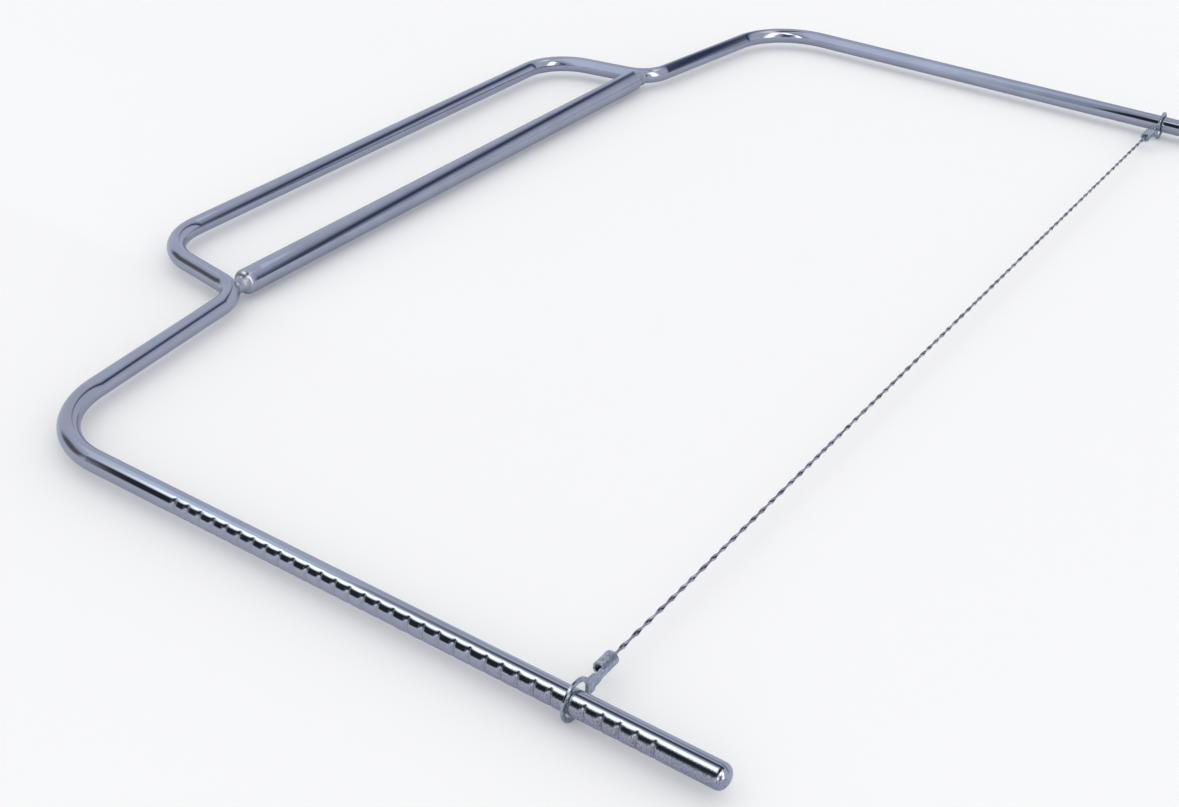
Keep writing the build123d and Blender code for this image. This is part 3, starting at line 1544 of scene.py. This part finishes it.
    def _dent(self, u: float, turn: float) -> float:
        """Depth of the crimp marks at a place on the barrel.

        Args:
            u: Distance from the ring's centre towards the wire.
            turn: How far round the barrel the place lies, in radians.

        Returns:
            The depth in millimetres.
        """
        if u <= self.barrel_start:
            return 0.0
        mark_number = (u - self.barrel_start - self.crimp_start) / self.crimp_pitch
        if not 0 <= mark_number + 0.5 <= self.crimp_marks - 1:
            return 0.0
        tooth = max(0.0, math.cos(2 * math.pi * mark_number)) ** 3
        return self.crimp_depth * tooth * bell(turn - self.crimp_turn, self.crimp_spread)

    def rolled(self, u: float, v: float, w: float) -> np.ndarray:
        """Work out where a place on the blank lies once the sheet is rolled.

        Args:
            u: Distance from the ring's centre towards the wire.
            v: Height on the flat blank.
            w: Distance from the sheet's middle, out of the barrel.

        Returns:
            The place as distance towards the wire, height and depth towards the tips.
        """
        share = min(1.0, max(0.0, (u - self.curl_start) / (self.barrel_start - self.curl_start)))
        share = share * share * (3 - 2 * share)
        bend = max(share / self.roll_radius, self.least_bend)
        turn = v * bend
        back = self.barrel_set_back * share
        radius = 1 / bend + w - self._dent(u, turn)
        return np.array((u, radius * math.sin(turn), back - 1 / bend + radius * math.cos(turn)))

    def _faced(self, place: tuple, facing: tuple) -> np.ndarray:
        """Work out which way a place on the blank faces once the sheet is rolled.

        Args:
            place: The place as u, v and w.
            facing: The way that it faces on the flat sheet.

        Returns:
            A unit vector, in the same three directions as the rolled place.
        """
        u, v, w = place
        du, dv, dw = facing
        here = self.rolled(u, v, w)
        along = (self.rolled(u + SHORT_STEP, v, w) - here) / SHORT_STEP
        up = (self.rolled(u, v + SHORT_STEP, w) - here) / SHORT_STEP
        out = (self.rolled(u, v, w + SHORT_STEP) - here) / SHORT_STEP
        direction = du * along + dv * up / np.linalg.norm(up) + dw * out
        return direction / np.linalg.norm(direction)

    def _turned(self, local: np.ndarray, side: Side) -> tuple:
        """Turn a direction of the rolled terminal to the model's axes, for the terminal's leg."""
        return (-side.value * local[0], -local[2], -side.value * local[1])

    def _placed(self, local: np.ndarray, side: Side) -> tuple:
        """Move a place of the rolled terminal to where it lies in the model, in millimetres."""
        x, y, z = self._turned(local, side)
        return (side.value * self.ring_x + x, self.sheet_middle_y + y, self.height + z)

    def _wear(self, u: float, v: float) -> float:
        """Tell how scuffed a place on the blank is.

        Args:
            u: Distance from the ring's centre towards the wire.
            v: Height on the flat blank.

        Returns:
            The scuffing, from 0 to 1.
        """
        if u > self.barrel_start:
            return self.crimp_wear * bell(v / self.roll_radius - self.crimp_turn, self.crimp_wear_spread)
        off_rim = abs(math.hypot(u, v) - self.hole_radius)
        return self.rim_wear * bell(off_rim, self.rim_wear_spread)

    def build(self, side: Side, finish: bpy.types.Material) -> bpy.types.Object:
        """Make the terminal on one leg and show it.

        Args:
            side: Which leg.
            finish: The zinc material.

        Returns:
            The terminal's object.
        """
        places, facing, skin = self._sheet()
        normals = [self._turned(self._faced(place, way), side) for place, way in zip(places, facing)]
        vertices = [self._placed(self.rolled(*place), side) for place in places]
        leg = side.name.lower()
        mesh = plain_mesh(leg + "_stamped_terminal", vertices, [], skin)
        mesh.validate()
        mesh.shade_smooth()
        face = mesh.polygons[0]
        if face.normal.dot(Vector(normals[face.vertices[0]])) < 0:
            mesh.flip_normals()
        mesh.normals_split_custom_set_from_vertices(normals)
        mark(mesh, "wear", [self._wear(u, v) for u, v, _ in places])
        mesh.materials.append(finish)
        return show(mesh, mesh.name, Body.WIRE_UNIT, [leg + "_ring_terminal"])


def bell(off: float, spread: float) -> float:
    """Fall from 1 at no distance towards 0, like a bell."""
    return math.exp(-((off / spread) ** 2))


def arc(centre: tuple, radius: float, start: float, end: float, steps: int) -> list:
    """Points along an arc.

    Args:
        centre: Middle of the arc's circle.
        radius: Radius of that circle.
        start: Direction from the middle to the first point, in radians.
        end: Direction from the middle to the last point.
        steps: Number of runs between the points.

    Returns:
        The points, one more than the runs.
    """
    points = []
    for step in range(steps + 1):
        turn = start + (end - start) * step / steps
        points.append((centre[0] + radius * math.cos(turn), centre[1] + radius * math.sin(turn)))
    return points


def rounded_corner(before: tuple, corner: tuple, after: tuple, rounding: float) -> list:
    """Points of the arc that replaces a corner.

    Args:
        before: Corner before this one.
        corner: The corner.
        after: Corner after this one.
        rounding: Radius of the arc.

    Returns:
        Points from one straight run to the next.
    """
    c = np.array(corner)
    a = np.array(before) - c
    b = np.array(after) - c
    a = a / np.linalg.norm(a)
    b = b / np.linalg.norm(b)
    half = math.acos(max(-1.0, min(1.0, float(a @ b)))) / 2
    start = c + a * rounding / math.tan(half)
    end = c + b * rounding / math.tan(half)
    centre = c + (a + b) / np.linalg.norm(a + b) * rounding / math.sin(half)
    points = []
    for step in range(CORNER_STEPS + 1):
        chord = start + (end - start) * step / CORNER_STEPS - centre
        points.append(tuple(centre + chord / np.linalg.norm(chord) * rounding))
    return points


def spaced(points: list, longest: float) -> list:
    """Split the long runs of an open line.

    Args:
        points: The line's points.
        longest: Longest run to leave whole.

    Returns:
        The line with more points, and without the points that fall together.
    """
    result = [points[0]]
    for a, b in zip(points, points[1:]):
        length = math.dist(a, b)
        if length < TINY:
            continue
        count = max(1, math.ceil(length / longest))
        for step in range(1, count + 1):
            share = step / count
            result.append((a[0] + (b[0] - a[0]) * share, a[1] + (b[1] - a[1]) * share))
    return result


def rim_directions(loop: np.ndarray) -> np.ndarray:
    """Directions out of a closed loop, whichever way it runs.

    Args:
        loop: The loop's points.

    Returns:
        A unit vector for each point, away from the loop's inside.
    """
    run = np.roll(loop, -1, axis=0) - np.roll(loop, 1, axis=0)
    run /= np.linalg.norm(run, axis=1)[:, None]
    left = np.stack([-run[:, 1], run[:, 0]], axis=1)
    area = np.sum(loop[:, 0] * np.roll(loop[:, 1], -1) - np.roll(loop[:, 0], -1) * loop[:, 1])
    return left if area < 0 else -left


@dataclass(frozen=True)
class Panel:
    """One reflector, light or flag of the studio, seen from the object as a far-off soft-edged card.

    Angles are in degrees. The azimuth counts from +X towards +Y.
    """

    azimuth: float
    elevation: float
    half_width: float
    half_height: float
    softness: float
    tone: tuple

    def mask(self, make: TreeMaker, way: bpy.types.NodeSocket) -> bpy.types.NodeSocket:
        """Work out where the card is seen.

        Args:
            make: Maker for the world's nodes.
            way: Direction that is looked along.

        Returns:
            A socket that is 1 on the card and 0 off it.
        """
        middle, right, top = self.axes()
        ahead = make.dot(way, middle)
        mask = make.math("GREATER_THAN", ahead, LEAST_AHEAD)
        for side, half in ((right, self.half_width), (top, self.half_height)):
            across = make.math("ABSOLUTE", make.dot(way, side))
            angle = make.math("ARCTAN2", across, ahead)
            mask = make.math("MULTIPLY", mask, soft_edge(make, angle, half, self.softness))
        return mask

    def axes(self) -> tuple:
        """Work out how the card stands.

        Returns:
            Directions of its middle, its right side and its top.
        """
        azimuth = math.radians(self.azimuth)
        elevation = math.radians(self.elevation)
        level = math.cos(elevation)
        middle = Vector((math.cos(azimuth) * level, math.sin(azimuth) * level, math.sin(elevation)))
        right = UP.cross(middle).normalized()
        return middle, right, middle.cross(right)


def soft_edge(make: TreeMaker, angle: object, half: float, softness: float) -> bpy.types.NodeSocket:
    """Work out how much of a panel is seen at an angle from its middle.

    Args:
        make: Maker for the world's nodes.
        angle: The angle in radians, without a sign.
        half: Angle at which half is seen, in degrees.
        softness: How much before and after that the edge starts and ends, in degrees.

    Returns:
        A socket that is 1 inside the edge and 0 outside it.
    """
    return make.span(angle, math.radians(half - softness), math.radians(half + softness), 1.0, 0.0)


class RodWay(Enum):
    """Directions that the straight rods run in, each with the level direction that a turn starts from."""

    HANDLE = ((1.0, 0.0, 0.0), (0.0, -1.0, 0.0))
    LEGS = ((0.0, 1.0, 0.0), (-1.0, 0.0, 0.0))


@dataclass(frozen=True)
class RodPanel:
    """A reflector, light or flag placed for one run of rods.

    A straight rod mirrors the directions at one angle from itself. A panel is therefore placed by that
    angle and by its turn round the rod from level, both in degrees. Its slant shifts the turn with each
    degree of the angle.
    """

    way: RodWay
    angle: float
    half_angle: float
    angle_softness: float
    turn: float
    half_turn: float
    turn_softness: float
    tone: tuple
    slant: float = 0.0

    def mask(self, make: TreeMaker, way: bpy.types.NodeSocket) -> bpy.types.NodeSocket:
        """Work out where the panel is seen.

        Args:
            make: Maker for the world's nodes.
            way: Direction that is looked along.

        Returns:
            A socket that is 1 on the panel and 0 off it.
        """
        rod, level = self.way.value
        angle = make.math("ARCCOSINE", make.dot(way, Vector(rod)))
        turn = make.math("ARCTAN2", make.dot(way, UP), make.dot(way, Vector(level)))
        off_angle = make.math("SUBTRACT", angle, math.radians(self.angle))
        off_turn = make.math("SUBTRACT", turn, math.radians(self.turn))
        off_turn = make.math("MULTIPLY_ADD", off_angle, -self.slant, off_turn)
        off_angle = make.math("ABSOLUTE", off_angle)
        off_turn = make.math("ABSOLUTE", off_turn)
        along = soft_edge(make, off_angle, self.half_angle, self.angle_softness)
        around = soft_edge(make, off_turn, self.half_turn, self.turn_softness)
        return make.math("MULTIPLY", along, around)


@dataclass(frozen=True)
class Card:
    """A flat one-sided card that stands near the object and shows only in its reflections.

    It faces the way that its long edge turned towards its short edge would drive a screw. Its tone
    changes along the long edge, from one share of that edge to another.
    """

    corner: tuple
    long_edge: tuple
    short_edge: tuple
    fade: float
    start_tone: tuple
    end_tone: tuple
    change: tuple = (0.0, 1.0)

    def build(self, name: str) -> None:
        """Make the card, which fades out towards its edges.

        Args:
            name: Name of its object.
        """
        mesh = self._mesh(name)
        mesh.materials.append(self._material(name))
        card = bpy.data.objects.new(name, mesh)
        card.visible_camera = False
        card.visible_diffuse = False
        card.visible_shadow = False
        bpy.context.scene.collection.objects.link(card)

    def _mesh(self, name: str) -> bpy.types.Mesh:
        """Make a full middle part with a border that fades out.

        Args:
            name: Name of the mesh.

        Returns:
            The mesh, with its share of the glow and its place along the long edge on its points.
        """
        long_edge = Vector(self.long_edge)
        short_edge = Vector(self.short_edge)
        columns, rows = (
            (0.0, self.fade / edge.length, 1.0 - self.fade / edge.length, 1.0)
            for edge in (long_edge, short_edge)
        )
        points = []
        shares = []
        for up in rows:
            for along in columns:
                points.append(Vector(self.corner) + long_edge * along + short_edge * up)
                shares.append(float(0.0 < along < 1.0 and 0.0 < up < 1.0))
        width = len(columns)
        faces = []
        for row in range(len(rows) - 1):
            for column in range(width - 1):
                a = row * width + column
                faces.append((a, a + 1, a + width + 1, a + width))
        mesh = plain_mesh(name, points, [], faces)
        mark(mesh, "share", shares)
        mark(mesh, "place", list(columns) * len(rows))
        return mesh

    def _material(self, name: str) -> bpy.types.Material:
        """Make a glow on the front that is clear at the edges and on the back.

        Args:
            name: Name of the material.

        Returns:
            The material.
        """
        material = bpy.data.materials.new(name)
        material.use_nodes = True
        material.node_tree.nodes.clear()
        make = TreeMaker(material.node_tree)
        place = make.span(make.attribute("place"), *self.change)
        glow = make.add("ShaderNodeEmission", {"Color": make.mix(place, self.start_tone, self.end_tone)})
        front = make.math("SUBTRACT", 1.0, make.add("ShaderNodeNewGeometry").outputs["Backfacing"])
        share = make.math("MULTIPLY", make.attribute("share"), front)
        clear = make.add("ShaderNodeBsdfTransparent")
        both = make.add("ShaderNodeMixShader", {0: share, 1: clear.outputs[0], 2: glow.outputs[0]})
        make.add("ShaderNodeOutputMaterial", {"Surface": both.outputs[0]})
        return material


@dataclass
class Studio:
    """Pale floor, soft light and the camera."""

    # The camera, whose place and directions were fitted to the photograph
    camera_place: tuple = (-324.78, -289.37, 185.01)
    camera_right: tuple = (0.56464455, -0.82470521, 0.03221575)
    camera_down: tuple = (-0.42759161, -0.32569641, -0.8432599)
    camera_forward: tuple = (0.70593339, 0.46236692, -0.53653973)
    focal_length: float = 48.354
    sensor_width: float = 36.0
    clip_range: tuple = (5.0, 50000.0)

    # The floor, a little bluer where the chrome mirrors it
    floor_height: float = -4.42
    floor_size: float = 8000.0
    floor_roughness: float = 0.9
    floor_tone: tuple = (0.93, 0.93, 0.935, 1.0)
    mirrored_floor_tone: tuple = (0.60, 0.63, 0.74, 1.0)

    # What surrounds the object: for soft light, for the chrome to mirror and behind the picture
    dome_tone: tuple = (0.97, 0.97, 0.97, 1.0)
    wall_tone: tuple = (0.60, 0.64, 0.78, 1.0)
    backdrop_tone: tuple = (0.90, 0.90, 0.905, 1.0)

    # Each panel covers those above it
    panels: tuple = (
        # Lights past the leg tips and past the near leg
        Panel(-101.0, 12.0, 9.0, 50.0, 6.0, (2.7, 2.7, 2.8, 1.0)),
        Panel(-161.0, 20.0, 6.0, 26.0, 5.0, (2.7, 2.7, 2.8, 1.0)),
        # A pale band high over the tips, a dark flag where the camera stands and a dim patch overhead
        Panel(-52.0, 68.0, 24.0, 6.0, 5.0, (1.25, 1.25, 1.32, 1.0)),
        Panel(-136.0, 20.0, 10.0, 50.0, 6.0, (0.12, 0.12, 0.14, 1.0)),
        Panel(-90.0, 84.0, 12.0, 12.0, 8.0, (0.33, 0.34, 0.42, 1.0)),
        # A dark patch behind the handle and a pale blue one past the near leg
        Panel(110.0, 19.0, 17.0, 14.0, 7.0, (0.15, 0.145, 0.16, 1.0)),
        Panel(165.0, 22.0, 14.0, 24.0, 3.0, (0.8, 0.95, 1.15, 1.0)),
        # A dim band and a dark line along the grip bar and the crossbar
        RodPanel(RodWay.HANDLE, 45.0, 10.0, 5.0, 64.0, 42.0, 26.0, (0.44, 0.48, 0.61, 1.0), -5.0),
        RodPanel(RodWay.HANDLE, 45.0, 9.5, 4.5, 60.0, 21.0, 20.0, (0.04, 0.055, 0.11, 1.0), -6.8),
        # A pale patch near the leg bends, then a white and a dark band along the legs
        RodPanel(RodWay.LEGS, 50.0, 6.0, 4.0, 106.0, 16.0, 10.0, (0.8, 0.93, 1.15, 1.0)),
        RodPanel(RodWay.LEGS, 64.0, 15.0, 4.0, 76.0, 13.0, 5.0, (2.0, 2.12, 2.25, 1.0)),
        RodPanel(RodWay.LEGS, 64.0, 18.0, 2.0, 32.0, 25.0, 6.0, (0.03, 0.03, 0.035, 1.0)),
        # A dark ring and a light for the domed tips
        RodPanel(RodWay.LEGS, 91.0, 10.0, 2.5, 66.0, 44.0, 6.0, (0.05, 0.045, 0.05, 1.0)),
        RodPanel(RodWay.LEGS, 114.0, 9.0, 3.0, 62.0, 16.0, 4.0, (2.6, 2.6, 2.7, 1.0)),
    )
    roof_card: Card = Card(
        corner=(-100.0, -100.0, -18.0),
        long_edge=(0.0, 360.0, 0.0),
        short_edge=(275.0, -60.0, 330.0),
        fade=9.0,
        start_tone=(0.38, 0.43, 0.55, 1.0),
        end_tone=(0.76, 0.84, 1.03, 1.0),
        change=(0.03, 0.26),
    )
    near_leg_card: Card = Card(
        corner=(-149.0, -240.0, 60.0),
        long_edge=(0.0, 150.0, 0.0),
        short_edge=(30.0, 0.0, 0.0),
        fade=4.0,
        start_tone=(0.08, 0.09, 0.11, 1.0),
        end_tone=(0.35, 0.38, 0.46, 1.0),
        change=(0.6, 1.0),
    )

    def build(self) -> None:
        """Make the floor, the lights, the world and the camera."""
        self._camera()
        self._floor()
        self._world()
        self.roof_card.build("roof_card")
        self.near_leg_card.build("near_leg_card")
        bpy.context.scene.view_settings.view_transform = "Standard"

    def _camera(self) -> None:
        """Place the camera where the photograph was taken."""
        camera = bpy.data.objects.new("camera", bpy.data.cameras.new("camera"))
        camera.data.sensor_fit = "HORIZONTAL"
        camera.data.sensor_width = self.sensor_width
        camera.data.lens = self.focal_length
        camera.data.clip_start, camera.data.clip_end = (distance * MM for distance in self.clip_range)
        back = -Vector(self.camera_forward)
        turn = Matrix((Vector(self.camera_right), -Vector(self.camera_down), back)).transposed()
        place = Matrix.Translation(Vector(self.camera_place) * MM)
        camera.matrix_world = place @ turn.to_4x4()
        bpy.context.scene.collection.objects.link(camera)
        bpy.context.scene.camera = camera

    def _floor(self) -> None:
        """Lay a plain pale floor under the object."""
        half = self.floor_size / 2
        z = self.floor_height
        corners = [(-half, -half, z), (half, -half, z), (half, half, z), (-half, half, z)]
        mesh = plain_mesh("floor", corners, [], [(0, 1, 2, 3)])
        material, make, shader = new_material("pale_floor")
        mirrored = make.add("ShaderNodeLightPath").outputs["Is Glossy Ray"]
        tone = make.mix(mirrored, self.floor_tone, self.mirrored_floor_tone)
        make.feed(shader.inputs["Base Color"], tone)
        make.feed(shader.inputs["Roughness"], self.floor_roughness)
        mesh.materials.append(material)
        floor = bpy.data.objects.new("floor", mesh)
        bpy.context.scene.collection.objects.link(floor)

    def _world(self) -> None:
        """Surround the object with grey walls, reflectors and flags for the chrome to mirror."""
        world = bpy.data.worlds.new("studio")
        world.use_nodes = True
        world.node_tree.nodes.clear()
        make = TreeMaker(world.node_tree)
        way = make.add("ShaderNodeTexCoord").outputs["Generated"]
        tone = self.wall_tone
        for panel in self.panels:
            tone = make.mix(panel.mask(make, way), tone, panel.tone)
        rays = make.add("ShaderNodeLightPath").outputs
        tone = make.mix(rays["Is Diffuse Ray"], tone, self.dome_tone)
        tone = make.mix(rays["Is Camera Ray"], tone, self.backdrop_tone)
        sky = make.add("ShaderNodeBackground", {"Color": tone})
        make.add("ShaderNodeOutputWorld", {"Surface": sky.outputs[0]})
        bpy.context.scene.world = world


def main() -> None:
    """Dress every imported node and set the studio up."""
    logging.basicConfig(level=logging.INFO, format="%(message)s")
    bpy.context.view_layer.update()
    Studio().build()
    effects = SurfaceEffects()
    chrome = ChromeFinish().make(effects)
    wire_finish = WireFinish().make(effects)
    zinc = ZincFinish().make(effects)
    rod = RodFrame()
    rod.build(chrome)
    HandleCrossbar(rod).build(chrome)
    CuttingWire().build(wire_finish)
    terminal = RingTerminal()
    for side in Side:
        terminal.build(side, zinc)


if __name__ == "__main__":
    main()
